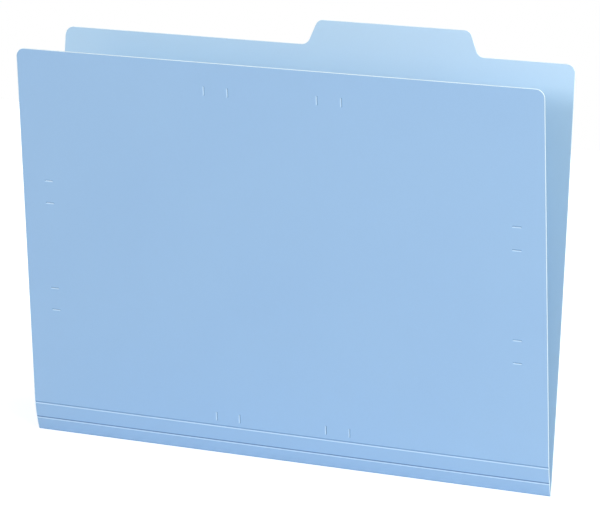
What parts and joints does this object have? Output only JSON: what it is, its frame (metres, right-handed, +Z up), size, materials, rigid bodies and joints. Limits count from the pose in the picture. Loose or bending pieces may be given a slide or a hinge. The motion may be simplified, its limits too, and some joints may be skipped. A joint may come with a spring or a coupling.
{
  "type": "plastic file folder",
  "caption": "Creased polypropylene file folder with a plain front flap, a taller rear flap with an index tab, base scores and fastener slits, open in a V.",
  "frame": {"origin": "middle of the bottom fold, on the surface that the folder stands on", "axes": "+X along the fold towards the tab's side, +Y from the front flap to the rear flap, +Z up"},
  "size_m": [0.31, 0.0596, 0.2452],
  "materials": {
    "pp_sheet": "pale blue extruded polypropylene sheet with a fine matt emboss"
  },
  "bodies": {
    "rear_flap": {"rear_panel": "pp_sheet", "main_fold_web": "pp_sheet"},
    "lower_strip": {"lower_score_strip": "pp_sheet", "lower_score_web": "pp_sheet"},
    "upper_strip": {"upper_score_strip": "pp_sheet", "upper_score_web": "pp_sheet"},
    "front_flap": {"front_panel": "pp_sheet"}
  },
  "joints": [
    {"name": "main_fold", "type": "hinge", "parent": "rear_flap", "child": "lower_strip", "pos_m": [0, 0, 0.00045], "axis": [1, 0, 0], "range_deg": [-3.9, 153.7]},
    {"name": "lower_score", "type": "hinge", "parent": "lower_strip", "child": "upper_strip", "pos_m": [0, -0.0029, 0.00791], "axis": [1, 0, 0], "range_deg": [-4.5, 6.4]},
    {"name": "upper_score", "type": "hinge", "parent": "upper_strip", "child": "front_flap", "pos_m": [0, -0.00504, 0.01716], "axis": [1, 0, 0], "range_deg": [-4.5, 6.4]}
  ]
}
